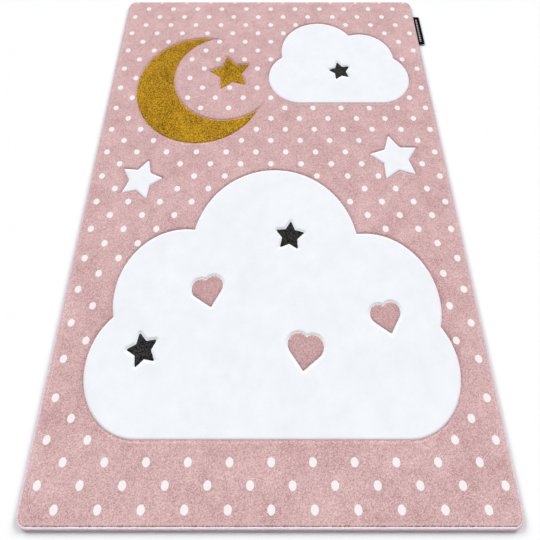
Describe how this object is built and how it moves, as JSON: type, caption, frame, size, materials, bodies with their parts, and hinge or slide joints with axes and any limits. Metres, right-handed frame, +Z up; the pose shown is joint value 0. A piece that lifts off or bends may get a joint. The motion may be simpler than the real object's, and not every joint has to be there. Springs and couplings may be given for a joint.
{
  "type": "kids rug",
  "caption": "Flat rectangular children's rug: short cut pile with polka dots and carved cloud, moon, star and heart motifs, overcast edge, folded side label.",
  "frame": {"origin": "centre of the rug's underside, on the floor", "axes": "+X across the rug, +Y along its length towards the end that the label is near, +Z up out of the pile"},
  "size_m": [1.225, 1.7, 0.012],
  "materials": {
    "pile_ground": "dusty pink short cut pile, matt",
    "pile_white": "white short cut pile, matt",
    "pile_gold": "mustard gold short cut pile, matt",
    "pile_charcoal": "charcoal short cut pile, matt",
    "pile_rose": "deeper dusty pink short cut pile, matt",
    "binding_yarn": "pale pink overcast yarn, soft sheen",
    "backing_cloth": "natural beige woven back",
    "label_ribbon": "black woven satin ribbon"
  },
  "bodies": {
    "root": {"rug_field": "pile_ground", "edge_binding": "binding_yarn", "edge_label": "label_ribbon"}
  },
  "joints": []
}
